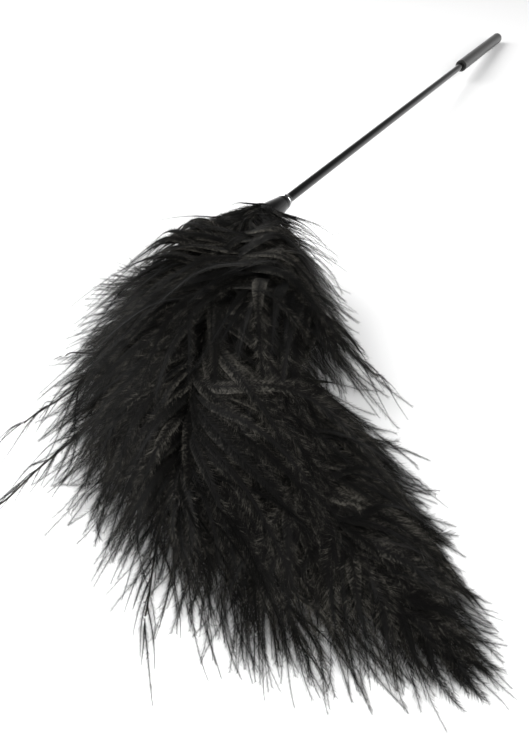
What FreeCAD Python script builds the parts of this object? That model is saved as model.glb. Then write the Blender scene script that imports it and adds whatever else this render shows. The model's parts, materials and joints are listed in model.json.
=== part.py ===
import FreeCAD, Part
import math
import os

# Ostrich feather duster lying on a flat surface. Millimetres, +Z up.
# The handle is built along its own axis. Station 0 is the joint between the head and the handle,
# positive stations run towards the grip and negative ones run into the feathers.
# The finished set is moved so that the origin is the centre of the box's underside, with the
# handle pointing along +X.

# Handle
rod_radius = 3.0
rod_bore_radius = 2.0
rod_start = 1.45
rod_end = 518.0
grip_start = 388.0
grip_length = 143.0
grip_radius = 5.5
grip_bore_radius = 4.2
grip_edge_round = 0.35
bush_length = 12.0
bush_recess = 0.5
rear_bush_start = 498.0
cap_plug_length = 9.0
cap_flange_length = 3.0
cap_edge_round = 1.8
collar_length = 3.4
collar_big_radius = 4.0
collar_small_radius = 3.35
collar_edge_round = 0.25

# Screw joint
thread_pitch = 1.5
thread_turns = 6.0
thread_minor_radius = 1.95
thread_crest_radius = 2.4
thread_crest_width = 0.35
thread_root_width = 0.85
stud_seat_length = 14.0
stud_lead = 1.2
stud_neck_length = 1.6
insert_bore_radius = 2.47
insert_radius = 3.6
insert_length = 13.0

# Trim ring
ring_radius = 4.75
ring_bore_radius = 2.47
ring_thickness = 1.15
ring_gap = 0.15

# Ferrule, a bell that opens towards the feathers
ferrule_length = 31.0
ferrule_face_radius = 4.55
ferrule_shoulder_radius = 5.1
ferrule_shoulder_station = 4.5
ferrule_middle_radius = 6.45
ferrule_face_round = 0.3
ferrule_middle_station = 14.0
ferrule_mouth_radius = 8.3
ferrule_wall = 0.95
ferrule_neck_length = 13.4

# Quill bundle inside the ferrule
core_radius = 2.7
core_end_station = -36.0
core_nose_length = 3.0
glue_thickness = 2.6
quill_ring_radius = 4.1
quill_root_radius = 1.15
quill_tip_radius = 0.35
band_length = 4.5
band_radius = 6.05
band_bore_radius = 5.5
band_station = -23.0

# Collar of short down over the ferrule's mouth
down_start_station = -19.0
down_full_station = -34.0
down_end_station = -46.0
down_start_radius = 8.0
down_full_radius = 14.0
down_end_radius = 16.5
down_thickness = 2.2
down_ferrule_gap = 0.3

# Lie of the duster
handle_tilt_deg = 4.63

# Head of feathers. Radii are measured in plan from the ferrule's mouth, and bearings are degrees
# from the line straight out of the ferrule, positive towards -Y.
fan_length = 276.0
fan_bearing = 42.0
fan_half_angle = 108.0
fan_shortest = 60.0
right_edge_bearing = 68.0
right_edge_turn = 18.0
right_edge_band = 30.0
right_edge_fall_radius = 110.0
bundle_half_height = 7.0
fringe_height = 9.0
crown_power = 1.8
landing_fraction = 0.5
landing_start_power = 1.6
landing_end_power = 1.4
side_landing_share = 0.75
bearing_power = 0.65
layer_count = 4
layer_fill = 0.72
layer_thickest = 3.0
vane_start = 30.0
vane_clearance = 0.65
shaft_floor_gap = 0.3
vane_tip_width = 4.0
vane_end_fraction = 0.995
vane_outline_power = 3.0
neighbour_share = 0.44
vane_stations = 14
vane_points = 4
shaft_stations = 9
shaft_clear_start = 30.0
shaft_end_fraction = 0.93

RIGHT = 1.0
LEFT = -1.0

# One row a plume: layer from the floor up, tip bearing, length, right and left vane widths,
# and its place round the quill bundle in degrees from +Y.
plume_rows = (
    (0, 50.0, 215.0, 40.0, 45.0, 230.0),
    (0, 18.0, 255.0, 52.0, 52.0, 270.0),
    (0, -32.0, 140.0, 40.0, 34.0, 310.0),
    (1, 34.0, 270.0, 60.0, 58.0, 190.0),
    (1, -6.0, 232.0, 55.0, 55.0, -10.0),
    (2, 46.4, 278.0, 62.0, 60.0, 150.0),
    (2, -14.0, 190.0, 50.0, 48.0, 30.0),
    (3, 62.0, 130.0, 26.0, 40.0, 110.0),
    (3, 20.0, 222.0, 42.0, 56.0, 70.0),
)

handle_tilt = math.radians(handle_tilt_deg)
axis = FreeCAD.Vector(math.cos(handle_tilt), 0, -math.sin(handle_tilt))
handle_length = grip_start + grip_length
joint_height = grip_radius * math.cos(handle_tilt) + handle_length * math.sin(handle_tilt)
joint_centre = FreeCAD.Vector(0, 0, joint_height)
mouth_centre = joint_centre - axis * ferrule_length
crown_height = mouth_centre.z + bundle_half_height
underside_height = mouth_centre.z - bundle_half_height


def lay_down(shape):
    """Turn a shape built along +X onto the tilted axis of the handle."""
    tilt = FreeCAD.Rotation(FreeCAD.Vector(0, 1, 0), handle_tilt_deg)
    placed = shape.copy()
    placed.Placement = FreeCAD.Placement(joint_centre, tilt).multiply(placed.Placement)
    return placed


def revolve(outline):
    """A solid turned about the X axis from a closed outline of (station, radius) points."""
    points = [FreeCAD.Vector(station, 0, radius) for station, radius in outline]
    face = Part.Face(Part.makePolygon(points + [points[0]]))
    return face.revolve(FreeCAD.Vector(0, 0, 0), FreeCAD.Vector(1, 0, 0), 360)


def tube(start, length, outer, inner):
    return revolve([(start, inner), (start, outer), (start + length, outer), (start + length, inner)])


def rod(start, length, radius):
    base = FreeCAD.Vector(start, 0, 0)
    return Part.makeCylinder(radius, length, base, FreeCAD.Vector(1, 0, 0))


def round_rims(solid, radius, station, rim_radius):
    """Round the circular edges of one radius that lie at one station."""
    rims = []
    for edge in solid.Edges:
        on_station = abs(edge.BoundBox.XMin - station) < 1e-4 and edge.BoundBox.XLength < 1e-4
        if on_station and abs(edge.BoundBox.YMax - rim_radius) < 1e-3:
            rims.append(edge)
    return solid.makeFillet(radius, rims)


def make_rod():
    solid = tube(rod_start, rod_end - rod_start, rod_radius, rod_bore_radius)
    return lay_down(solid)


def make_rod_collar():
    """The shoulder on the rod that the trim ring is tightened by."""
    outline = [
        (rod_start, rod_radius),
        (rod_start, collar_big_radius),
        (rod_start + collar_length / 2, collar_big_radius),
        (rod_start + collar_length, collar_small_radius),
        (rod_start + collar_length, rod_radius),
    ]
    solid = round_rims(revolve(outline), collar_edge_round, rod_start, collar_big_radius)
    return lay_down(solid)


def make_threaded_stud():
    """A shank pressed into the rod, a plain neck, and a helical thread with a pointed lead."""
    thread_length = thread_pitch * thread_turns
    stud_end = rod_start - stud_neck_length - thread_length - stud_lead
    shank = revolve([
        (stud_end, 0),
        (stud_end, thread_minor_radius - stud_lead / 2),
        (stud_end + stud_lead / 2, thread_minor_radius),
        (rod_start, thread_minor_radius),
        (rod_start, rod_bore_radius),
        (rod_start + stud_seat_length, rod_bore_radius),
        (rod_start + stud_seat_length, 0),
    ])
    thread_start = rod_start - stud_neck_length - thread_length
    helix = Part.makeHelix(thread_pitch, thread_length - thread_root_width, thread_minor_radius)
    ridge = [
        FreeCAD.Vector(thread_minor_radius - 0.1, 0, -thread_root_width / 2),
        FreeCAD.Vector(thread_crest_radius, 0, -thread_crest_width / 2),
        FreeCAD.Vector(thread_crest_radius, 0, thread_crest_width / 2),
        FreeCAD.Vector(thread_minor_radius - 0.1, 0, thread_root_width / 2),
    ]
    profile = Part.makePolygon(ridge + [ridge[0]])
    thread = Part.Wire(helix).makePipeShell([profile], True, True)
    thread.rotate(FreeCAD.Vector(0, 0, 0), FreeCAD.Vector(0, 1, 0), 90)
    thread.translate(FreeCAD.Vector(thread_start + thread_root_width / 2, 0, 0))
    return lay_down(shank.fuse(thread))


def make_grip_sleeve():
    length = grip_length - cap_flange_length
    solid = tube(grip_start, length, grip_radius, grip_bore_radius)
    solid = round_rims(solid, grip_edge_round, grip_start, grip_radius)
    return lay_down(solid)


def make_grip_bush(start):
    return lay_down(tube(start, bush_length, grip_bore_radius, rod_radius))


def make_grip_end_cap():
    """A plug in the sleeve with a flange that closes and rounds the grip's far end."""
    flange_start = grip_start + grip_length - cap_flange_length
    flange = rod(flange_start, cap_flange_length, grip_radius)
    flange = round_rims(flange, cap_edge_round, grip_start + grip_length, grip_radius)
    plug = rod(flange_start - cap_plug_length, cap_plug_length, grip_bore_radius)
    return lay_down(flange.fuse(plug).removeSplitter())


def make_trim_ring():
    start = ring_gap
    solid = tube(start, ring_thickness, ring_radius, ring_bore_radius)
    solid = round_rims(solid, ring_thickness * 0.4, start, ring_radius)
    solid = round_rims(solid, ring_thickness * 0.4, start + ring_thickness, ring_radius)
    return lay_down(solid)


def make_ferrule():
    """A turned bell: an arc for the shoulder and one for the flare, a bored neck and a cavity."""
    face = FreeCAD.Vector(0, 0, ferrule_face_radius)
    rise = FreeCAD.Vector(-ferrule_shoulder_station * 0.35, 0, ferrule_face_radius + ferrule_face_round)
    shoulder = FreeCAD.Vector(-ferrule_shoulder_station, 0, ferrule_shoulder_radius)
    middle = FreeCAD.Vector(-ferrule_middle_station, 0, ferrule_middle_radius)
    mouth = FreeCAD.Vector(-ferrule_length, 0, ferrule_mouth_radius)
    lip = FreeCAD.Vector(-ferrule_length, 0, ferrule_mouth_radius - ferrule_wall)
    cavity_top = FreeCAD.Vector(-ferrule_neck_length, 0, ferrule_middle_radius - ferrule_wall)
    cavity_neck = FreeCAD.Vector(-ferrule_neck_length, 0, insert_radius)
    neck = FreeCAD.Vector(0, 0, insert_radius)
    edges = [
        Part.Arc(face, rise, shoulder).toShape(),
        Part.Arc(shoulder, middle, mouth).toShape(),
        Part.makeLine(mouth, lip),
        Part.makeLine(lip, cavity_top),
        Part.makeLine(cavity_top, cavity_neck),
        Part.makeLine(cavity_neck, neck),
        Part.makeLine(neck, face),
    ]
    section = Part.Face(Part.Wire(edges))
    solid = section.revolve(FreeCAD.Vector(0, 0, 0), FreeCAD.Vector(1, 0, 0), 360)
    return lay_down(solid)


def make_thread_insert():
    """The metal sleeve that the stud screws into, bored to the thread's crest with clearance."""
    start = -ferrule_neck_length
    return lay_down(tube(start, insert_length, insert_radius, insert_bore_radius))


def make_glue_plug():
    start = -ferrule_neck_length - glue_thickness
    return lay_down(rod(start, glue_thickness, ferrule_middle_radius - ferrule_wall - 0.05))


def make_quill_core():
    """The peg that the quills are bound round, with a tapered nose among the feathers."""
    root = -ferrule_neck_length - glue_thickness
    nose = core_end_station + core_nose_length
    outline = [(root, 0), (root, core_radius), (nose, core_radius), (core_end_station, core_radius / 2)]
    return lay_down(revolve(outline + [(core_end_station, 0)]))


def make_binding_band():
    """A metal band that holds the ring of quills to the peg."""
    return lay_down(tube(band_station, band_length, band_radius, band_bore_radius))


def make_down_collar():
    """A flared sleeve of short barbs that starts on the ferrule and hides its mouth."""
    inner = [
        (down_start_station, down_start_radius),
        (-ferrule_length, ferrule_mouth_radius + down_ferrule_gap),
        (down_full_station, down_full_radius - down_thickness),
        (down_end_station, down_end_radius - down_thickness),
    ]
    outer = [
        (down_end_station, down_end_radius),
        (down_full_station, down_full_radius),
        (down_start_station, down_start_radius + down_thickness),
    ]
    return lay_down(revolve(inner + outer))


def fringe_radius(bearing):
    """How far the feathers reach from the ferrule's mouth along one bearing."""
    share = (bearing - fan_bearing) / fan_half_angle
    return max(fan_shortest, fan_length * (1 - share * share))


def side_fall(radius, bearing):
    """How much of the height is lost near the right edge, where the barbs spill to the floor."""
    edge = right_edge_bearing - right_edge_turn * (radius / fan_length) ** 2
    share = (bearing - edge + right_edge_band) / right_edge_band
    share = min(1.0, max(0.0, share))
    return share * share * min(1.0, radius / right_edge_fall_radius)


def crown(radius, bearing):
    """Height of the top of the feathers."""
    reach = min(1.0, radius / fringe_radius(bearing))
    rise = (crown_height - fringe_height) * (1 - reach ** crown_power)
    return fringe_height + rise * (1 - side_fall(radius, bearing))


def underside(radius, bearing):
    """Height of the underside of the feathers, which land on the floor part of the way out."""
    reach = min(1.0, radius / fringe_radius(bearing) / landing_fraction)
    height = underside_height * (1 - reach ** landing_start_power) ** landing_end_power
    return height * (1 - side_landing_share * side_fall(radius, bearing))


def layer_span(layer, radius, bearing):
    """Lowest and highest height of one layer of plumes at one place."""
    low = underside(radius, bearing)
    pitch = (crown(radius, bearing) - low) / layer_count
    bottom = low + layer * pitch
    return bottom, bottom + min(layer_thickest, layer_fill * pitch)


def polar_of(x, y):
    """Plan radius and bearing of a point, measured from the ferrule's mouth."""
    ahead = mouth_centre.x - x
    aside = mouth_centre.y - y
    return math.hypot(ahead, aside), math.degrees(math.atan2(aside, ahead))


def plan_point(radius, bearing):
    turn = math.radians(bearing)
    return mouth_centre.x - radius * math.cos(turn), mouth_centre.y - radius * math.sin(turn)


class Plume:
    """One feather: where its shaft runs, and how far its vanes reach."""

    def __init__(self, row):
        self.layer, self.tip_bearing, self.length, self.right, self.left, self.place = row

    def bearing(self, radius):
        return self.tip_bearing * (radius / self.length) ** bearing_power

    def shaft_radius(self, radius):
        share = min(1.0, max(0.0, radius / self.length))
        return quill_root_radius + (quill_tip_radius - quill_root_radius) * share

    def shaft_point(self, radius):
        bearing = self.bearing(radius)
        x, y = plan_point(radius, bearing)
        low, high = layer_span(self.layer, radius, bearing)
        rise = max(self.shaft_radius(radius) + shaft_floor_gap, (high - low) / 2)
        return FreeCAD.Vector(x, y, low + rise)

    def width(self, side, radius):
        """Reach of one vane from the shaft, a rounded leaf outline."""
        share = (radius - vane_start) / (self.length - vane_start)
        full = self.right if side == RIGHT else self.left
        swell = 1 - abs(2 * share - 1) ** vane_outline_power
        return max(vane_tip_width, full * math.sqrt(max(0.0, swell)))


plumes = [Plume(row) for row in plume_rows]


def neighbour_of(plume, side):
    """The plume beside this one in the same layer, or None at the edge of the fan."""
    same = [other for other in plumes if other.layer == plume.layer and other is not plume]
    beyond = [other for other in same if (other.tip_bearing - plume.tip_bearing) * side > 0]
    if not beyond:
        return None
    return min(beyond, key=lambda other: abs(other.tip_bearing - plume.tip_bearing))


def ring_wire(centre, radius, direction):
    """A circle across a path, turned as little as possible so that neighbours stay in step."""
    ahead = FreeCAD.Vector(-1, 0, 0)
    circle = Part.Wire(Part.makeCircle(radius, FreeCAD.Vector(0, 0, 0), ahead))
    circle.Placement = FreeCAD.Placement(centre, FreeCAD.Rotation(ahead, direction))
    return circle


def make_shaft(plume):
    """A quill from the bundle that becomes a tapering shaft along the plume."""
    place = math.radians(plume.place)
    tilt = FreeCAD.Rotation(FreeCAD.Vector(0, 1, 0), handle_tilt_deg)
    aside = quill_ring_radius * math.cos(place)
    above = quill_ring_radius * math.sin(place)
    root = -ferrule_neck_length - glue_thickness
    points = []
    for station in (root, (root - ferrule_length) / 2, -ferrule_length):
        points.append(joint_centre + tilt.multVec(FreeCAD.Vector(station, aside, above)))
    radii = [quill_root_radius] * len(points)
    last = plume.length * shaft_end_fraction
    for step in range(shaft_stations + 1):
        radius = shaft_clear_start + (last - shaft_clear_start) * step / shaft_stations
        points.append(plume.shaft_point(radius))
        radii.append(plume.shaft_radius(radius))
    path = Part.BSplineCurve()
    path.interpolate(points)
    sections = []
    for point, radius in zip(points, radii):
        direction = path.tangent(path.parameter(point))[0]
        sections.append(ring_wire(point, radius, direction))
    return Part.makeLoft(sections, True, False)


def vane_section(plume, side, radius):
    """An upright slice through a vane, from beside the shaft out to the vane's edge."""
    centre = plume.bearing(radius)
    near = centre + side * math.degrees((plume.shaft_radius(radius) + vane_clearance) / radius)
    reach = math.degrees(plume.width(side, radius) / radius)
    neighbour = neighbour_of(plume, side)
    if neighbour:
        reach = min(reach, neighbour_share * abs(neighbour.bearing(radius) - centre))
    far = centre + side * max(reach, abs(near - centre) + math.degrees(1 / radius))
    near_x, near_y = plan_point(radius, near)
    far_x, far_y = plan_point(radius, far)
    tops = []
    bottoms = []
    for step in range(vane_points):
        share = step / (vane_points - 1)
        x = near_x + (far_x - near_x) * share
        y = near_y + (far_y - near_y) * share
        low, high = layer_span(plume.layer, *polar_of(x, y))
        bottoms.append(FreeCAD.Vector(x, y, low))
        tops.append(FreeCAD.Vector(x, y, high))
    loop = bottoms + tops[::-1]
    return Part.makePolygon(loop + [loop[0]])


def make_vane(plume, side):
    """The barbs on one side of a shaft, as one thin curved solid."""
    last = plume.length * vane_end_fraction
    sections = []
    for step in range(vane_stations):
        share = (1 - math.cos(math.pi * step / (vane_stations - 1))) / 2
        radius = vane_start + (last - vane_start) * share
        sections.append(vane_section(plume, side, radius))
    return Part.makeLoft(sections, True, True)


def make_all():
    pieces = {
        "handle_rod": make_rod(),
        "rod_collar": make_rod_collar(),
        "threaded_stud": make_threaded_stud(),
        "grip_sleeve": make_grip_sleeve(),
        "grip_front_bush": make_grip_bush(grip_start + bush_recess),
        "grip_rear_bush": make_grip_bush(rear_bush_start),
        "grip_end_cap": make_grip_end_cap(),
        "trim_ring": make_trim_ring(),
        "ferrule": make_ferrule(),
        "thread_insert": make_thread_insert(),
        "glue_plug": make_glue_plug(),
        "quill_core": make_quill_core(),
        "binding_band": make_binding_band(),
        "down_collar": make_down_collar(),
    }
    for number, plume in enumerate(plumes, 1):
        pieces["plume_%d_shaft" % number] = make_shaft(plume)
        pieces["plume_%d_right_vane" % number] = make_vane(plume, RIGHT)
        pieces["plume_%d_left_vane" % number] = make_vane(plume, LEFT)
    return pieces


def whole_box(pieces):
    box = FreeCAD.BoundBox()
    for shape in pieces.values():
        box.add(shape.optimalBoundingBox(False, False))
    return box


pieces = make_all()
box = whole_box(pieces)
shift = FreeCAD.Vector(-box.Center.x, -box.Center.y, -box.ZMin)
os.makedirs("parts", exist_ok=True)
for name, shape in pieces.items():
    shape.translate(shift)
    shape.exportStep("parts/%s.step" % name)
    print("%-22s valid %s solids %d volume %.1f" % (name, shape.isValid(), len(shape.Solids), shape.Volume))
print("size %.1f x %.1f x %.1f" % (box.XLength, box.YLength, box.ZLength))
print("joint centre", joint_centre + shift, "axis", axis)
print("grip end", joint_centre + axis * handle_length + shift)
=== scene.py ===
import json
import math

import bpy
import numpy as np
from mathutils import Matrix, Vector


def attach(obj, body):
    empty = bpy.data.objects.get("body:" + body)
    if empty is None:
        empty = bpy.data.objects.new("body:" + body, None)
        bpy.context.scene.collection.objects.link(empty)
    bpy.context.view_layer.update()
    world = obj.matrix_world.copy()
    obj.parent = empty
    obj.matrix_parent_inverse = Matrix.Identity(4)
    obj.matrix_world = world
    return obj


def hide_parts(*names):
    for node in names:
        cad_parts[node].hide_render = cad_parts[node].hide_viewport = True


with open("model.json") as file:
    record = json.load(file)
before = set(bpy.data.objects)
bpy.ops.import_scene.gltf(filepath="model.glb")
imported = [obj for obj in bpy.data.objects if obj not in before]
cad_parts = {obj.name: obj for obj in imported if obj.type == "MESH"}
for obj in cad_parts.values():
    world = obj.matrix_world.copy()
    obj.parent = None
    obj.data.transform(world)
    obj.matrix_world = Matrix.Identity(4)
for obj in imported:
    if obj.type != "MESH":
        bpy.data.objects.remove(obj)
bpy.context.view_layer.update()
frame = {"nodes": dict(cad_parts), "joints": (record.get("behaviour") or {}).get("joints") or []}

MM = 0.001
RNG = np.random.default_rng(41)

# ---------------------------------------------------------------- places taken from the frame

JOINT = next(j for j in frame["joints"] if j["name"] == "handle_unscrew")
RING_CENTRE = np.array(JOINT["pos_m"])
AXIS = np.array(JOINT["axis"])
FERRULE_LENGTH = 31.0 * MM
MOUTH = RING_CENTRE - AXIS * FERRULE_LENGTH

# ---------------------------------------------------------------- the fan that the plumes fill
# Plan radii are measured from the ferrule's mouth. Bearings are degrees from straight out of the
# ferrule, positive towards -Y. These repeat the driving dimensions of the CAD head.

FAN_LENGTH = 276 * MM
FAN_BEARING = 42.0
FAN_HALF_ANGLE = 108.0
FAN_SHORTEST = 60 * MM
EDGE_BEARING = 68.0
EDGE_TURN = 18.0
EDGE_BAND = 30.0
EDGE_FALL_RADIUS = 110 * MM
BUNDLE_HALF_HEIGHT = 7 * MM
FRINGE_HEIGHT = 9 * MM
CROWN_POWER = 1.8
LANDING_FRACTION = 0.5
LANDING_START_POWER = 1.6
LANDING_END_POWER = 1.4
SIDE_LANDING_SHARE = 0.75
BEARING_POWER = 0.65
LAYERS = 4
QUILL_RING_RADIUS = 4.1 * MM
QUILL_BLEND_RADIUS = 30 * MM
LAYER_MIDDLE = 0.45
FLOOR_GAP = 0.5 * MM

RIGHT = 1.0
LEFT = -1.0

# Layer from the floor up, tip bearing, length, and the place round the bundle from +Y.
PLUMES = (
    (0, 50.0, 215, 230.0),
    (0, 18.0, 255, 270.0),
    (0, -32.0, 140, 310.0),
    (1, 34.0, 270, 190.0),
    (1, -6.0, 232, -10.0),
    (2, 46.4, 278, 150.0),
    (2, -14.0, 190, 30.0),
    (3, 62.0, 130, 110.0),
    (3, 20.0, 222, 70.0),
)

# Bearing in degrees, then how far the solid mass and its longest hairs reach, in mm.
OUTLINE = (
    (-130, 50, 72), (-100, 55, 80), (-80, 62, 94), (-70, 80, 103), (-60, 90, 109), (-45, 92, 111),
    (-30, 108, 128), (-20, 121, 148), (-10, 150, 184), (0, 172, 208), (8, 188, 222), (16, 205, 246),
    (24, 240, 264), (32, 257, 275), (40, 265, 281), (46, 272, 285), (49, 262, 282), (52, 110, 242),
    (56, 52, 178), (60, 60, 156), (64, 68, 118), (68, 54, 100), (74, 46, 72), (80, 42, 60),
    (95, 40, 50), (130, 38, 46), (180, 45, 60),
)
OUTLINE_BEARINGS = [bearing for bearing, mass, hair in OUTLINE]
MASS_REACHES = [mass * MM for bearing, mass, hair in OUTLINE]
HAIR_REACHES = [hair * MM for bearing, mass, hair in OUTLINE]

# The gap under the short right-hand plume: its place on the floor, its half width, and how far it
# leans for each unit of height.
NOTCH_BEARING = 54.0
NOTCH_REACH = 95 * MM
NOTCH_RADIUS = 14 * MM
NOTCH_LEAN_AHEAD = 1.1
NOTCH_LEAN_ASIDE = 0.4


def smooth(x):
    """A soft step from 0 to 1."""
    x = np.clip(x, 0.0, 1.0)
    return x * x * (3 - 2 * x)


def fringe_radius(bearing):
    """Plan radius of the edge of the plumes at a bearing."""
    share = (bearing - FAN_BEARING) / FAN_HALF_ANGLE
    return np.maximum(FAN_SHORTEST, FAN_LENGTH * (1 - share * share))


def side_fall(radius, bearing):
    """How far the fan's right side has dropped: 0 on top and 1 at the edge."""
    edge = EDGE_BEARING - EDGE_TURN * (radius / FAN_LENGTH) ** 2
    share = np.clip((bearing - edge + EDGE_BAND) / EDGE_BAND, 0, 1)
    return share * share * np.minimum(1, radius / EDGE_FALL_RADIUS)


def crown(radius, bearing):
    """Height of the top of the plumes."""
    reach = np.minimum(1, radius / fringe_radius(bearing))
    rise = (MOUTH[2] + BUNDLE_HALF_HEIGHT - FRINGE_HEIGHT) * (1 - reach ** CROWN_POWER)
    return FRINGE_HEIGHT + rise * (1 - side_fall(radius, bearing))


def underside(radius, bearing):
    """Height of the bottom of the plumes, which come down to the floor part of the way out."""
    reach = np.minimum(1, radius / fringe_radius(bearing) / LANDING_FRACTION)
    height = (MOUTH[2] - BUNDLE_HALF_HEIGHT) * (1 - reach ** LANDING_START_POWER) ** LANDING_END_POWER
    return height * (1 - SIDE_LANDING_SHARE * side_fall(radius, bearing))


def layer_height(layer, x, y):
    """Height of the middle of a layer of plumes over plan points."""
    ahead = MOUTH[0] - x
    aside = MOUTH[1] - y
    radius = np.hypot(ahead, aside)
    bearing = np.degrees(np.arctan2(aside, ahead))
    low = underside(radius, bearing)
    return low + (crown(radius, bearing) - low) * (layer + LAYER_MIDDLE) / LAYERS


def outline(x, y):
    """Plan radius of points, and the reach of the solid mass and of the hairs in their bearing."""
    ahead = MOUTH[0] - x
    aside = MOUTH[1] - y
    bearing = np.degrees(np.arctan2(aside, ahead))
    mass = np.interp(bearing, OUTLINE_BEARINGS, MASS_REACHES)
    hair = np.interp(bearing, OUTLINE_BEARINGS, HAIR_REACHES)
    return np.hypot(ahead, aside), mass, hair


def overshoot(x, y):
    """How far out plan points lie: 0 at the edge of the solid mass and 1 at the longest hairs."""
    radius, mass, hair = outline(x, y)
    return (radius - mass) / (hair - mass)


def in_notch(x, y, z):
    """True inside the gap under the short right-hand plume, a round column that leans forward."""
    turn = math.radians(NOTCH_BEARING)
    middle_x = MOUTH[0] - NOTCH_REACH * math.cos(turn) - NOTCH_LEAN_AHEAD * z
    middle_y = MOUTH[1] - NOTCH_REACH * math.sin(turn) - NOTCH_LEAN_ASIDE * z
    return np.hypot(x - middle_x, y - middle_y) < NOTCH_RADIUS


class Plume:
    """One feather's shaft as a sampled curve from the quill bundle to its tip."""

    SAMPLES = 120

    def __init__(self, number, row):
        self.number = number
        self.layer, self.tip_bearing, length, self.place = row
        self.length = length * MM
        radius = np.linspace(0, self.length, self.SAMPLES)
        bearing = self.tip_bearing * (radius / self.length) ** BEARING_POWER
        turn = np.radians(bearing)
        x = MOUTH[0] - radius * np.cos(turn)
        y = MOUTH[1] - radius * np.sin(turn)
        z = layer_height(self.layer, x, y)
        place = math.radians(self.place)
        blend = smooth(radius / QUILL_BLEND_RADIUS)
        y = y + QUILL_RING_RADIUS * math.cos(place) * (1 - blend)
        quill_z = MOUTH[2] + QUILL_RING_RADIUS * math.sin(place)
        z = quill_z * (1 - blend) + z * blend
        self.radius = radius
        self.points = np.stack([x, y, z], axis=1)
        steps = np.gradient(self.points, axis=0)
        self.heading = np.unwrap(np.arctan2(-steps[:, 1], -steps[:, 0]))

    def at(self, radius):
        """Points and headings of the shaft at plan radii."""
        point = np.stack([np.interp(radius, self.radius, self.points[:, i]) for i in range(3)], axis=1)
        return point, np.interp(radius, self.radius, self.heading)


# ---------------------------------------------------------------- barbs

BARB_POINTS = 19

# A ribbon's cross-section from edge to edge in half widths, with the tone at each point of it.
RIBBON_ACROSS = (-1.0, -0.5, -0.07, 0.0, 0.07, 0.5, 1.0)
RIBBON_TONES = (1.0, 0.95, 0.8, 0.05, 0.8, 0.95, 1.0)
RIBBON_DROP = 0.2
BLADES_TO_A_BUNDLE = 8

# How far the outer parts of barbs are held above their layer. It grows with a barb's length, and
# along the shaft it rises over HOLD_START and is gone by HOLD_SPAN.
HOLD_HEIGHT = 25 * MM
FULL_HOLD_LENGTH = 75 * MM
HOLD_START = 50 * MM
HOLD_SPAN = 130 * MM

# The course of a barb, in shares of its length: it has opened by OPEN_SHARE and come down to its
# layer by LANDING_SHARE. It waves by WAVE_TURN radians from root to tip.
WIDEST_OPENING = math.radians(100)
OPEN_SHARE = 0.3
LANDING_SHARE = 0.5
WAVE_TURN = (2.0, 5.0)

# Where barbs end between the mass and the longest hairs, as the shape of a beta distribution, and
# how much farther out than its own root a barb may always go.
TIP_SPREAD = (1.7, 2.3)
ROOT_ALLOWANCE = (0.2, 0.9)
LIFT_RANGE = (0.2, 1.0)
ARCH_RATE = 1.25
STRAY_POWER = 1.5
SETTLE_POWER = 3
FLOOR_SCATTER = 0.3 * MM
GATHER_POWER = 1.6
SMALLEST_SIDE = 1e-6


def draw_barbs(roots, headings, sides, sweeps, lengths, layers, holds, settings):
    """Paths of barbs that leave their shafts, sweep forward and droop onto the layer below.

    Holds are heights that the outer parts keep above that layer. Returns points with one row a
    barb and BARB_POINTS columns, and the lengths after trimming to the outline of the fan.
    """
    count = len(lengths)
    t = np.linspace(0, 1, BARB_POINTS)[None, :]
    open_angle = np.radians(RNG.normal(settings["leave"], settings["leave_spread"], (count, 1)))
    middle_angle = np.radians(RNG.normal(settings["middle"], settings["middle_spread"], (count, 1)))
    close_angle = middle_angle * sweeps[:, None]
    angle = open_angle + (middle_angle - open_angle) * smooth(t / OPEN_SHARE)
    closing = smooth((t - OPEN_SHARE) / (1 - OPEN_SHARE))
    angle = angle + (close_angle - middle_angle) * closing
    wave = np.radians(settings["wave"]) * RNG.normal(0, 1, (count, 1))
    wave = wave * np.minimum(1, lengths / settings["full_wave"])[:, None]
    phase = RNG.uniform(0, 2 * math.pi, (count, 1))
    wiggle = wave * np.sin(phase + RNG.uniform(*WAVE_TURN, (count, 1)) * t) * t
    opening = np.clip(sides[:, None] * angle, -WIDEST_OPENING, WIDEST_OPENING)
    heading = headings[:, None] + opening + wiggle

    def walk(reach):
        step = reach[:, None] / (BARB_POINTS - 1)
        x = np.cumsum(-np.cos(heading) * step, axis=1)
        y = np.cumsum(-np.sin(heading) * step, axis=1)
        return roots[:, 0:1] + x - x[:, 0:1], roots[:, 1:2] + y - y[:, 0:1]

    x, y = walk(lengths)
    inner, outer = settings["inner"], settings["outer"]
    limit = inner + (outer - inner) * RNG.beta(*TIP_SPREAD, (count, 1))
    allowance = RNG.uniform(*ROOT_ALLOWANCE, (count, 1))
    limit = np.maximum(limit, overshoot(x[:, :1], y[:, :1]) + allowance)
    landing = smooth(t / LANDING_SHARE)
    held = layer_height(layers[:, None], x, y) + holds[:, None] * landing
    outside = (overshoot(x, y) > limit) | in_notch(x, y, held)
    outside[:, 0] = False
    crossing = np.where(outside.any(axis=1), outside.argmax(axis=1), BARB_POINTS - 1)
    lengths = lengths * np.maximum(crossing / (BARB_POINTS - 1), settings["shortest"])
    x, y = walk(lengths)
    freedom = smooth(lengths / FULL_HOLD_LENGTH)
    holds = holds * freedom
    ground = layer_height(layers[:, None], x, y)
    start_gap = roots[:, 2:3] - ground[:, 0:1]
    arch = np.sin(math.pi * np.minimum(1, t * ARCH_RATE))
    lift = settings["lift"] * freedom[:, None] * RNG.uniform(*LIFT_RANGE, (count, 1)) * arch
    stray = settings["stray"] * freedom[:, None] * RNG.normal(0, 1, (count, 1)) * t ** STRAY_POWER
    z = ground + start_gap * (1 - landing) + lift + stray + holds[:, None] * landing
    unheld = (1 - np.minimum(1, holds / HOLD_HEIGHT))[:, None]
    z = z * (1 - settings["settle"] * unheld * t ** SETTLE_POWER)
    z = np.maximum(z, FLOOR_GAP + FLOOR_SCATTER * RNG.uniform(0, 1, (count, 1)))
    return np.stack([x, y, z], axis=2), lengths


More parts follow.
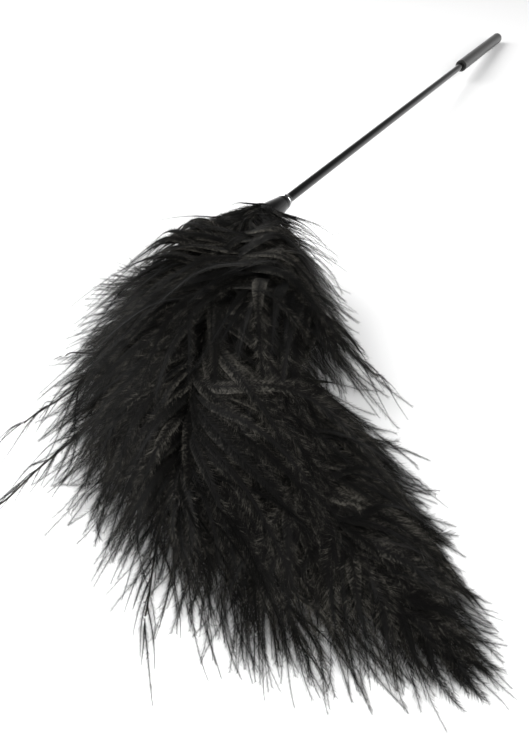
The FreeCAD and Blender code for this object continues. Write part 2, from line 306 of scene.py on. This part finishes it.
def gather(paths, groups, strength):
    """Pull the outer part of each barb towards the middle of its tuft."""
    tally = np.bincount(groups)
    sums = np.zeros((len(tally),) + paths.shape[1:])
    np.add.at(sums, groups, paths)
    middle = sums[groups] / tally[groups][:, None, None]
    t = np.linspace(0, 1, BARB_POINTS)[None, :, None]
    pull = strength[:, None, None] * t ** GATHER_POWER
    return paths * (1 - pull) + middle * pull


def frames_along(paths, twists):
    """Tangent, sideways and upward directions along each barb, rolled by its twist."""
    tangent = np.gradient(paths, axis=1)
    tangent /= np.linalg.norm(tangent, axis=2, keepdims=True)
    up = np.array([0.0, 0.0, 1.0])
    side = np.cross(tangent, up)
    side /= np.maximum(np.linalg.norm(side, axis=2, keepdims=True), SMALLEST_SIDE)
    over = np.cross(side, tangent)
    cos = np.cos(twists)[:, :, None]
    sin = np.sin(twists)[:, :, None]
    return tangent, side * cos + over * sin, over * cos - side * sin


def ribbon_mesh(paths, side, over, halves):
    """A soft strip along each barb, falling a little to both edges, that ends as a bare hair."""
    across = np.array(RIBBON_ACROSS)[None, None, :, None]
    centre = paths[:, :, None, :]
    width = halves[:, :, None, None]
    drop = over[:, :, None, :] * width * RIBBON_DROP * across ** 2
    points = centre + side[:, :, None, :] * width * across - drop
    points[..., 2] = np.maximum(points[..., 2], FLOOR_GAP / 2)
    columns = len(RIBBON_ACROSS)
    index = np.arange(len(paths) * BARB_POINTS * columns).reshape(len(paths), BARB_POINTS, columns)
    near_left, near_right = index[:, :-1, :-1], index[:, :-1, 1:]
    far_left, far_right = index[:, 1:, :-1], index[:, 1:, 1:]
    faces = np.stack([near_left, near_right, far_right, far_left], axis=3)
    return points.reshape(-1, 3), faces.reshape(-1, 4)


# Towards a barb's tip its barbules lie closer to it and get narrower. They grow over the first
# BLADE_GROWTH of the barb and shorten from BLADE_FADE_START on.
LAST_SHARE = 0.999
LEAN_LOSS = 0.45
LEAN_SPREAD = 9
BLADE_RANGE = (0.72, 1.12)
BLADE_GROWTH = 0.16
BLADE_FADE_START = 0.5
BLADE_NARROWING = 0.45
BLADE_FLOOR_GAP = 0.15 * MM


def barbule_mesh(paths, lengths, tangent, side, over, settings, fullness):
    """Fine blades in two rows along each barb. Returns corner points, three to a blade."""
    spacing = settings["spacing"]
    per_side = np.maximum(2, (lengths / spacing).astype(int))
    barb = np.repeat(np.arange(len(lengths)), 2 * per_side)
    total = len(barb)
    first = np.concatenate([[0], np.cumsum(2 * per_side)])[:-1]
    order = np.arange(total) - np.repeat(first, 2 * per_side)
    row = np.where(order % 2 == 0, 1.0, -1.0)
    t = (order // 2 + RNG.uniform(0, 1, total)) / per_side[barb]
    t = np.clip(settings["bare_root"] + t * (1 - settings["bare_root"]), 0, LAST_SHARE)
    place = t * (BARB_POINTS - 1)
    low = place.astype(int)
    share = (place - low)[:, None]

    def at(field):
        return field[barb, low] * (1 - share) + field[barb, low + 1] * share

    centre, ahead, aside, above = at(paths), at(tangent), at(side), at(over)
    lean = np.radians(settings["lean"] * (1 - LEAN_LOSS * t) + RNG.normal(0, LEAN_SPREAD, total))
    rise = np.radians(RNG.normal(settings["raise"], settings["raise_spread"], total))
    reach = settings["blade"] * fullness[barb] * RNG.uniform(*BLADE_RANGE, total)
    fade = smooth((t - BLADE_FADE_START) / (1 - BLADE_FADE_START))
    reach = reach * (smooth(t / BLADE_GROWTH) * (1 - fade * settings["tip_loss"]))
    out = aside * (row * np.sin(lean) * np.cos(rise))[:, None]
    out = out + ahead * (np.cos(lean) * np.cos(rise))[:, None] + above * np.sin(rise)[:, None]
    half = settings["blade_width"] / 2 * (1 - BLADE_NARROWING * t)[:, None]
    tip = centre + out * reach[:, None]
    corners = np.stack([centre - ahead * half, centre + ahead * half, tip], axis=1)
    corners[:, :, 2] = np.maximum(corners[:, :, 2], BLADE_FLOOR_GAP)
    return corners.reshape(-1, 3), barb, t


def build_mesh(name, ribbons, ribbon_faces, ribbon_uv, ribbon_tone, blades, blade_uv, blade_tone_shade_glint):
    """One mesh of the four-cornered faces of ribbons followed by three-cornered blades."""
    mesh = bpy.data.meshes.new(name)
    blade_count = len(blades) // 3
    vertices = np.concatenate([ribbons, blades])
    blade_index = np.arange(len(blades)) + len(ribbons)
    loops = np.concatenate([ribbon_faces.ravel(), blade_index])
    sizes = np.concatenate([np.full(len(ribbon_faces), 4), np.full(blade_count, 3)])
    starts = np.concatenate([[0], np.cumsum(sizes)])[:-1]
    mesh.vertices.add(len(vertices))
    mesh.vertices.foreach_set("co", vertices.astype(np.float32).ravel())
    mesh.loops.add(len(loops))
    mesh.loops.foreach_set("vertex_index", loops.astype(np.int32))
    mesh.polygons.add(len(sizes))
    mesh.polygons.foreach_set("loop_start", starts.astype(np.int32))
    mesh.update(calc_edges=True)
    tone = mesh.attributes.new("tone", "FLOAT", "POINT")
    tone.data.foreach_set("value", np.concatenate([ribbon_tone, blade_tone_shade_glint]).astype(np.float32))
    layer = mesh.uv_layers.new(name="OFBake")
    uv = np.concatenate([ribbon_uv, blade_uv])[loops]
    layer.data.foreach_set("uv", uv.astype(np.float32).ravel())
    piece = bpy.data.objects.new(name, mesh)
    bpy.context.scene.collection.objects.link(piece)
    return piece


# A ribbon widens over RIBBON_GROWTH of its barb, then narrows to the bare ramus from
# RIBBON_FADE_START over RIBBON_FADE. The tones are darkest on bare hairs and at barbule roots,
# and barbules near the shaft are darkened as painted shade.
RIBBON_GROWTH = 0.2
RIBBON_FADE_START = 0.25
RIBBON_FADE = 0.45
RAMUS_NARROWING = 0.7
HAIR_TONE = 0.25
RIBBON_TONE_GAIN = 0.65
ROOT_SHADE = 0.6
SHADE_SPAN = 0.4
# Bundles of barbules are brightened or darkened at random, and the bright ones are painted glints.
BUNDLE_TONES_AND_GLINTS = (0.1, 2.1)
BLADE_ROOT_TONE = 0.12


def feather_piece(name, paths, lengths, settings, tones, fullness, solidity):
    """Ribbons and barbules of a set of barbs as one piece. Solidity scales the ribbons only."""
    count = len(lengths)
    t = np.linspace(0, 1, BARB_POINTS)[None, :]
    twist = np.radians(RNG.normal(0, settings["twist"], (count, 1)))
    twist = twist + np.radians(RNG.normal(0, settings["twist"], (count, 1))) * t
    tangent, side, over = frames_along(paths, twist)
    row = (np.arange(count) + 0.5) / count

    broad = settings["ribbon"] * fullness * solidity * smooth(lengths / settings["full_length"])
    fade = smooth((t - RIBBON_FADE_START) / RIBBON_FADE)
    body = broad[:, None] * smooth(t / RIBBON_GROWTH) * (1 - fade)
    halves = np.maximum(body, settings["ramus"] / 2 * (1 - RAMUS_NARROWING * t))
    ribbons, ribbon_faces = ribbon_mesh(paths, side, over, halves)
    ribbon_t = np.broadcast_to(t[:, :, None], (count, BARB_POINTS, len(RIBBON_ACROSS)))
    ribbon_uv = np.stack([ribbon_t, np.broadcast_to(row[:, None, None], ribbon_t.shape)], axis=3)
    wide = np.clip(body / settings["ribbon"], 0, 1)[:, :, None]
    ribbon_tone = tones[:, None, None] * np.array(RIBBON_TONES) * (HAIR_TONE + RIBBON_TONE_GAIN * wide)

    blades, barb, blade_t = barbule_mesh(paths, lengths, tangent, side, over, settings, fullness)
    blade_uv = np.repeat(np.stack([blade_t, row[barb]], axis=1), 3, axis=0)
    # painted shade: barbules are darker near the barb's root at the shaft and reach full tone over
    # SHADE_SPAN
    shade = ROOT_SHADE + (1 - ROOT_SHADE) * smooth(blade_t / SHADE_SPAN)
    bundle = np.arange(len(barb)) // BLADES_TO_A_BUNDLE
    # barbule tone: the barb's tone, times painted shade near the shaft, times a random bundle factor whose
    # bright end is painted glints
    tip_tone_shade_glint = tones[barb] * shade * RNG.uniform(*BUNDLE_TONES_AND_GLINTS, bundle.max() + 1)[bundle]
    root_tone_shade_glint = tip_tone_shade_glint * BLADE_ROOT_TONE
    blade_tone_shade_glint = np.stack([root_tone_shade_glint, root_tone_shade_glint, tip_tone_shade_glint], axis=1).ravel()
    return build_mesh(
        name, ribbons, ribbon_faces, ribbon_uv.reshape(-1, 2), ribbon_tone.ravel(),
        blades, blade_uv, blade_tone_shade_glint,
    )


# Angles in degrees. Leave and middle are a barb's angles to its shaft, lean and raise a barbule's to
# its barb.
PLUME_BARBS = {
    "leave": 20, "leave_spread": 9, "middle": 42, "middle_spread": 15, "wave": 24, "full_wave": 110 * MM,
    "lift": 8 * MM, "stray": 2.5 * MM, "settle": 0.5, "twist": 11, "shortest": 0.2,
    "inner": -0.5, "outer": 1.15, "spacing": 0.34 * MM, "blade": 7.4 * MM, "blade_width": 0.34 * MM,
    "lean": 46, "raise": 3, "raise_spread": 3, "bare_root": 0.02, "tip_loss": 0.6,
    "ribbon": 3.2 * MM, "ramus": 0.42 * MM, "full_length": 85 * MM,
}
BARB_SPACING = 1.7 * MM
FIRST_BARB = 2 * MM
LONGEST_BARB = 125 * MM
SHAFT_SHARE = 0.95
CROSSING_SHARE = 0.06
CROSSING_TURN = -0.45
RIGHT_SPREAD = 1.35
MAIN_PLUME = 6
# Where barbs begin to thin out as a share of the mass's reach, and over what share they do.
THINNING = (0.72, 0.3)
MAIN_THINNING = (0.9, 0.4)
MOST_THINNED = 0.8
THIN_SHORTENING = 0.5
THIN_NARROWING = 0.5
THIN_BARBULE_LOSS = 0.7
THIN_RIBBON_LOSS = 0.95

# Lengths by place on the shaft, with the last part from TIP_START on, and by the plume's own length.
ROOT_JITTER = 0.4
LENGTH_SPREAD = 0.10
FIRST_LENGTH = 0.68
LENGTH_GROWTH = 0.32
LENGTH_GROWTH_SPAN = 45 * MM
TIP_START = 0.6
TIP_SHORTENING = 0.3
SHORT_PLUME_SCALE = 0.6
SCALE_LENGTH = 550 * MM

# Barbs open wider near the ferrule and close up at the plume's tip. A sweep is the share of its
# middle angle that a barb still has at its own tip. It falls away from the ferrule.
OPEN_NEAR = {LEFT: 1.3, RIGHT: 0.9}
OPEN_NEAR_SPAN = 90 * MM
TIP_CLOSING = 0.85
CLOSING_RANGE = (0.2, 1)
SWEEP_NEAR = 0.92
SWEEP_LOSS = 0.36
SWEEP_START = 40 * MM
SWEEP_SPAN = 80 * MM
LAYER_SPREAD = 0.35

# Neighbours gather in tufts. A barb starts one with this chance, and the pull is a share.
TUFT_CHANCE = 0.3
TUFT_PULL = (0.0, 0.3)

# Tones are a mean and a spread.
PLUME_TONE = (0.56, 0.15)
PLUME_TONE_LIMITS = (0.04, 0.85)
PLUME_FULLNESS = (0.55, 1.2)


def barb_length(plume, radius):
    """Barbs are longest from the root to the middle, and shorten round the tip."""
    share = radius / plume.length
    grow = FIRST_LENGTH + LENGTH_GROWTH * smooth(radius / LENGTH_GROWTH_SPAN)
    shrink = 1 - TIP_SHORTENING * smooth((share - TIP_START) / (1 - TIP_START))
    scale = min(1.0, SHORT_PLUME_SCALE + plume.length / SCALE_LENGTH)
    return LONGEST_BARB * scale * grow * shrink


def make_vane(plume, side, name):
    """The barbs of one side of a plume, thinned and shortened towards the edge of the mass."""
    count = int((plume.length * SHAFT_SHARE - FIRST_BARB) / BARB_SPACING)
    radius = np.linspace(FIRST_BARB, plume.length * SHAFT_SHARE, count)
    radius = radius + RNG.uniform(-ROOT_JITTER, ROOT_JITTER, count) * BARB_SPACING
    roots, headings = plume.at(radius)
    start, span = MAIN_THINNING if plume.number == MAIN_PLUME else THINNING
    out, mass, _ = outline(roots[:, 0], roots[:, 1])
    thin = smooth((out / mass - start) / span)
    kept = RNG.uniform(0, 1, count) > MOST_THINNED * thin
    radius, thin, roots, headings = radius[kept], thin[kept], roots[kept], headings[kept]
    count = len(radius)
    lengths = barb_length(plume, radius) * RNG.normal(1.0, LENGTH_SPREAD, count)
    lengths = lengths * (1 - THIN_SHORTENING * thin)
    close = smooth((radius / plume.length / SHAFT_SHARE - TIP_START) / (1 - TIP_START))
    spread = RIGHT_SPREAD if side == RIGHT else 1.0
    spread = spread + OPEN_NEAR[side] * (1 - smooth(radius / OPEN_NEAR_SPAN))
    sides = side * spread * (1 - THIN_NARROWING * thin)
    sides = sides * (1 - TIP_CLOSING * close * RNG.uniform(*CLOSING_RANGE, count))
    sides = np.where(RNG.uniform(0, 1, count) < CROSSING_SHARE, sides * CROSSING_TURN, sides)
    sweeps = SWEEP_NEAR - SWEEP_LOSS * smooth((radius - SWEEP_START) / SWEEP_SPAN)
    layers = plume.layer + RNG.uniform(-LAYER_SPREAD, LAYER_SPREAD, count)
    holds = HOLD_HEIGHT * RNG.uniform(0, 1, count) * smooth(radius / HOLD_START)
    holds = holds * (1 - smooth(radius / HOLD_SPAN))
    paths, lengths = draw_barbs(roots, headings, sides, sweeps, lengths, layers, holds, PLUME_BARBS)
    groups = np.cumsum(RNG.uniform(0, 1, count) < TUFT_CHANCE)
    groups = groups - groups.min()
    strength = RNG.uniform(*TUFT_PULL, groups.max() + 1)[groups]
    paths = gather(paths, groups, strength)
    tones = np.clip(RNG.normal(*PLUME_TONE, count), *PLUME_TONE_LIMITS)
    fullness = RNG.uniform(*PLUME_FULLNESS, count) * (1 - THIN_BARBULE_LOSS * thin)
    return feather_piece(name, paths, lengths, PLUME_BARBS, tones, fullness, 1 - THIN_RIBBON_LOSS * thin)


DOWN_BARBS = dict(PLUME_BARBS)
DOWN_BARBS.update({
    "blade": 2.8 * MM, "ribbon": 0.9 * MM, "ramus": 0.26 * MM, "twist": 40, "full_length": 40 * MM,
})
DOWN_COUNT = 420

# Stations along the axis from the ring, radii about it, and plan bearings to both sides.
DOWN_START = -22 * MM
DOWN_END = -46 * MM
DOWN_START_RADIUS = 8.0 * MM
DOWN_END_RADIUS = 6.5 * MM
DOWN_LENGTH = 46 * MM
DOWN_LEFT_BEARING = -48
DOWN_RIGHT_BEARING = 92
DOWN_BEARING_SPREAD = 32

# Where the roots lie round the axis, in degrees from the top towards their own side.
DOWN_TURN = (-15, 150)
DOWN_LENGTH_RANGE = (0.5, 1.25)
DOWN_FIRST_TURN = 0.25
DOWN_TURN_SHARE = 0.55
DOWN_LIFT = 4 * MM
DOWN_FALL = (0.3, 0.85)
DOWN_TONE = (0.45, 0.2)
DOWN_TONE_LIMITS = (0.05, 1)
DOWN_FULLNESS = (0.6, 1.0)
STRAY_SHARE = 0.02
STRAY_LENGTH = 1.25
STRAY_FALL = 0.2


def make_down(name):
    """Short barbs rooted round the ferrule's mouth that run forward, then turn aside and fall."""
    tilt_up = np.array([-AXIS[2], 0.0, AXIS[0]])
    across = np.array([0.0, 1.0, 0.0])
    right = RNG.uniform(0, 1, DOWN_COUNT) < 0.5
    bearing = np.where(right, DOWN_RIGHT_BEARING, DOWN_LEFT_BEARING)
    bearing = bearing + RNG.normal(0, DOWN_BEARING_SPREAD, DOWN_COUNT)
    turn = np.radians(90 + np.where(right, 1, -1) * RNG.uniform(*DOWN_TURN, DOWN_COUNT))
    share = RNG.uniform(0, 1, DOWN_COUNT)
    station = DOWN_START + (DOWN_END - DOWN_START) * share
    radius = DOWN_START_RADIUS + (DOWN_END_RADIUS - DOWN_START_RADIUS) * share
    outward = np.outer(np.cos(turn), across) + np.outer(np.sin(turn), tilt_up)
    roots = RING_CENTRE + np.outer(station, AXIS) + outward * radius[:, None]
    lengths = DOWN_LENGTH * RNG.uniform(*DOWN_LENGTH_RANGE, DOWN_COUNT)
    stray = RNG.uniform(0, 1, DOWN_COUNT) < STRAY_SHARE
    lengths = np.where(stray, lengths * STRAY_LENGTH, lengths)
    t = np.linspace(0, 1, BARB_POINTS)[None, :]
    turned = DOWN_FIRST_TURN + (1 - DOWN_FIRST_TURN) * smooth(t / DOWN_TURN_SHARE)
    heading = np.radians(bearing)[:, None] * turned
    step = lengths[:, None] / (BARB_POINTS - 1)
    x = np.cumsum(-np.cos(heading) * step, axis=1)
    y = np.cumsum(-np.sin(heading) * step, axis=1)
    x = roots[:, 0:1] + x - x[:, 0:1]
    y = roots[:, 1:2] + y - y[:, 0:1]
    lift = DOWN_LIFT * RNG.uniform(0, 1, (DOWN_COUNT, 1)) * np.sin(math.pi * t)
    fall = lengths[:, None] * RNG.uniform(*DOWN_FALL, (DOWN_COUNT, 1)) * t ** 2
    fall = np.where(stray[:, None], fall * STRAY_FALL, fall)
    z = np.maximum(roots[:, 2:3] + lift - fall, FLOOR_GAP)
    paths = np.stack([x, y, z], axis=2)
    tones = np.clip(RNG.normal(*DOWN_TONE, DOWN_COUNT), *DOWN_TONE_LIMITS)
    fullness = RNG.uniform(*DOWN_FULLNESS, DOWN_COUNT)
    return feather_piece(name, paths, lengths, DOWN_BARBS, tones, fullness, np.ones(DOWN_COUNT))


# ---------------------------------------------------------------- materials


# Barb colour by tone, from near black up to a top stop that is a painted highlight on the brightest
# barbules.
FEATHER_COLOURS_TO_HIGHLIGHT = (
    (0.0, (0.0003, 0.0003, 0.0003)),
    (0.4, (0.0042, 0.004, 0.0034)),
    (1.0, (0.095, 0.089, 0.076)),
)
BUMP_DEPTH = 0.05 * MM


def new_material(name):
    material = bpy.data.materials.new(name)
    material.use_nodes = True
    nodes = material.node_tree.nodes
    shader = next(node for node in nodes if node.type == "BSDF_PRINCIPLED")
    return material, nodes, material.node_tree.links, shader


def ramp(nodes, links, source, stops):
    node = nodes.new("ShaderNodeValToRGB")
    links.new(source, node.inputs["Fac"])
    while len(node.color_ramp.elements) < len(stops):
        node.color_ramp.elements.new(0.5)
    for element, (place, colour) in zip(node.color_ramp.elements, stops):
        element.position = place
        element.color = (*colour, 1)
    return node.outputs["Color"]


def noise(nodes, links, scale, detail=4.0):
    """A noise over the object's own coordinates."""
    coordinates = nodes.new("ShaderNodeTexCoord")
    node = nodes.new("ShaderNodeTexNoise")
    node.inputs["Scale"].default_value = scale
    node.inputs["Detail"].default_value = detail
    links.new(coordinates.outputs["Object"], node.inputs["Vector"])
    return node


def feather_material():
    """Near-black barbs whose colour follows each barb's tone, mottled a little, with painted shade near the
    shaft and a painted highlight on the brightest barbules.
    """
    material, nodes, links, shader = new_material("plume_barbs")
    tone = nodes.new("ShaderNodeAttribute")
    tone.attribute_name = "tone"
    grain = noise(nodes, links, 900, 2.0)
    spread = nodes.new("ShaderNodeMapRange")
    spread.inputs["From Min"].default_value = 0.3
    spread.inputs["From Max"].default_value = 0.7
    spread.inputs["To Min"].default_value = 0.6
    spread.inputs["To Max"].default_value = 1.4
    links.new(grain.outputs["Fac"], spread.inputs["Value"])
    mottle = nodes.new("ShaderNodeMath")
    mottle.operation = "MULTIPLY"
    links.new(tone.outputs["Fac"], mottle.inputs[0])
    links.new(spread.outputs["Result"], mottle.inputs[1])
    colour = ramp(nodes, links, mottle.outputs["Value"], FEATHER_COLOURS_TO_HIGHLIGHT)
    links.new(colour, shader.inputs["Base Color"])
    shader.inputs["Roughness"].default_value = 0.55
    shader.inputs["Specular IOR Level"].default_value = 0.08
    shader.inputs["Sheen Weight"].default_value = 0.03
    shader.inputs["Sheen Roughness"].default_value = 0.4
    return material


def plain_material(
    name, colour, spread, roughness, roughness_spread, scale, bump=0.0, metallic=0.0, specular=0.5,
):
    """Colour and roughness that vary a little over the surface, with an optional fine bump."""
    material, nodes, links, shader = new_material(name)
    grain = noise(nodes, links, scale)
    dark = tuple(c * (1 - spread) for c in colour)
    light = tuple(min(1, c * (1 + spread)) for c in colour)
    mottled = ramp(nodes, links, grain.outputs["Fac"], [(0.3, dark), (0.7, light)])
    links.new(mottled, shader.inputs["Base Color"])
    gloss = nodes.new("ShaderNodeMapRange")
    gloss.inputs["To Min"].default_value = roughness - roughness_spread
    gloss.inputs["To Max"].default_value = roughness + roughness_spread
    links.new(grain.outputs["Fac"], gloss.inputs["Value"])
    links.new(gloss.outputs["Result"], shader.inputs["Roughness"])
    shader.inputs["Metallic"].default_value = metallic
    shader.inputs["Specular IOR Level"].default_value = specular
    if bump:
        node = nodes.new("ShaderNodeBump")
        node.inputs["Strength"].default_value = bump
        node.inputs["Distance"].default_value = BUMP_DEPTH
        links.new(grain.outputs["Fac"], node.inputs["Height"])
        links.new(node.outputs["Normal"], shader.inputs["Normal"])
    return material


def paint(names, material):
    for name in names:
        for slot in frame["nodes"][name].material_slots:
            slot.material = material


# ---------------------------------------------------------------- build the head

plume_look = feather_material()
plumes = [Plume(number, row) for number, row in enumerate(PLUMES, 1)]
for plume in plumes:
    for side, word in ((RIGHT, "right"), (LEFT, "left")):
        node = "plume_%d_%s_vane" % (plume.number, word)
        piece = make_vane(plume, side, "plume_%d_%s_barbs" % (plume.number, word))
        piece.data.materials.append(plume_look)
        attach(piece, "head")
        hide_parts(node)

down = make_down("down_barbs")
down.data.materials.append(plume_look)
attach(down, "head")
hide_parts("down_collar")

# ---------------------------------------------------------------- CAD nodes that stay

quill_look = plain_material("quill_keratin", (0.02, 0.016, 0.014), 0.4, 0.42, 0.1, 300, bump=0.3)
rod_look = plain_material("rod_gloss_black", (0.003, 0.003, 0.003), 0.2, 0.07, 0.02, 120, specular=0.32)
shell_look = plain_material("ferrule_gloss_black", (0.004, 0.004, 0.004), 0.2, 0.1, 0.02, 200, specular=0.18)
grip_look = plain_material("grip_satin_black", (0.01, 0.01, 0.0095), 0.2, 0.3, 0.05, 900, bump=0.2)
bush_look = plain_material("bush_rubber", (0.008, 0.008, 0.008), 0.2, 0.8, 0.08, 700, bump=0.3)
ring_look = plain_material("ring_polished", (0.75, 0.75, 0.76), 0.05, 0.12, 0.04, 500, metallic=1.0)
steel_look = plain_material("stud_steel", (0.55, 0.55, 0.56), 0.1, 0.3, 0.06, 900, metallic=1.0)
brass_look = plain_material("insert_brass", (0.7, 0.52, 0.25), 0.1, 0.32, 0.06, 700, metallic=1.0)
resin_look = plain_material("glue_resin", (0.3, 0.2, 0.09), 0.2, 0.3, 0.06, 300)
wood_look = plain_material("core_wood", (0.45, 0.3, 0.17), 0.25, 0.6, 0.08, 250, bump=0.4)

paint(["plume_%d_shaft" % plume.number for plume in plumes], quill_look)
paint(["handle_rod"], rod_look)
paint(["ferrule", "rod_collar"], shell_look)
paint(["grip_sleeve", "grip_end_cap"], grip_look)
paint(["grip_front_bush", "grip_rear_bush"], bush_look)
paint(["trim_ring"], ring_look)
paint(["threaded_stud", "binding_band"], steel_look)
paint(["thread_insert"], brass_look)
paint(["glue_plug"], resin_look)
paint(["quill_core"], wood_look)

# ---------------------------------------------------------------- floor, light and camera

FLOOR_HALF = 1.3
floor_mesh = bpy.data.meshes.new("floor")
corners = [(x * FLOOR_HALF, y * FLOOR_HALF, 0) for x, y in ((-1, -1), (1, -1), (1, 1), (-1, 1))]
floor_mesh.from_pydata(corners, [], [(0, 1, 2, 3)])
floor = bpy.data.objects.new("floor", floor_mesh)
bpy.context.scene.collection.objects.link(floor)
floor_look, _, _, floor_shader = new_material("floor_white")
floor_shader.inputs["Base Color"].default_value = (0.9, 0.9, 0.9, 1)
floor_shader.inputs["Roughness"].default_value = 1.0
floor_shader.inputs["Specular IOR Level"].default_value = 0.0
floor_mesh.materials.append(floor_look)

# White at the horizon and dark overhead, so that gloss black shows no bright sky.
SKY = [(0.0, (1, 1, 1)), (0.09, (0.8, 0.8, 0.8)), (0.3, (0.14, 0.14, 0.14)), (1.0, (0.05, 0.05, 0.05))]
world = bpy.data.worlds.new("studio")
bpy.context.scene.world = world
world.use_nodes = True
world_nodes = world.node_tree.nodes
world_links = world.node_tree.links
sky_direction = world_nodes.new("ShaderNodeTexCoord")
sky_split = world_nodes.new("ShaderNodeSeparateXYZ")
world_links.new(sky_direction.outputs["Generated"], sky_split.inputs["Vector"])
sky_colour = ramp(world_nodes, world_links, sky_split.outputs["Z"], SKY)
world_links.new(sky_colour, world_nodes["Background"].inputs["Color"])
world_nodes["Background"].inputs["Strength"].default_value = 1.0


def area_light(name, place, target, size, power):
    light = bpy.data.lights.new(name, "AREA")
    light.size = size
    light.energy = power
    lamp = bpy.data.objects.new(name, light)
    bpy.context.scene.collection.objects.link(lamp)
    lamp.location = place
    lamp.rotation_euler = (Vector(target) - Vector(place)).to_track_quat("-Z", "Y").to_euler()


area_light("key_light", (-0.75, 1.35, 1.25), (0, 0, 0), 1.5, 54)
area_light("fill_light", (-1.0, -1.2, 1.1), (-0.1, 0, 0), 1.4, 46)

# Where the camera stands from the ring, how far it looks down, and how far it is turned from +X.
CAMERA_BACK = 380.3 * MM
CAMERA_ASIDE = 191.1 * MM
CAMERA_HEIGHT = 275 * MM
CAMERA_PITCH = math.radians(41)
VIEW_TURN = math.radians(28.32)

camera_data = bpy.data.cameras.new("camera")
camera_data.lens = 36
camera_data.sensor_width = 36
camera = bpy.data.objects.new("camera", camera_data)
bpy.context.scene.collection.objects.link(camera)
camera.location = (RING_CENTRE[0] - CAMERA_BACK, RING_CENTRE[1] - CAMERA_ASIDE, CAMERA_HEIGHT)
level = math.cos(CAMERA_PITCH)
forward = (math.cos(VIEW_TURN) * level, math.sin(VIEW_TURN) * level, -math.sin(CAMERA_PITCH))
camera.rotation_euler = Vector(forward).to_track_quat("-Z", "Y").to_euler()
camera_data.clip_start = 0.01
camera_data.clip_end = 20
bpy.context.scene.camera = camera

scene = bpy.context.scene
scene.view_settings.view_transform = "Standard"
scene.view_settings.look = "None"

bpy.context.view_layer.update()
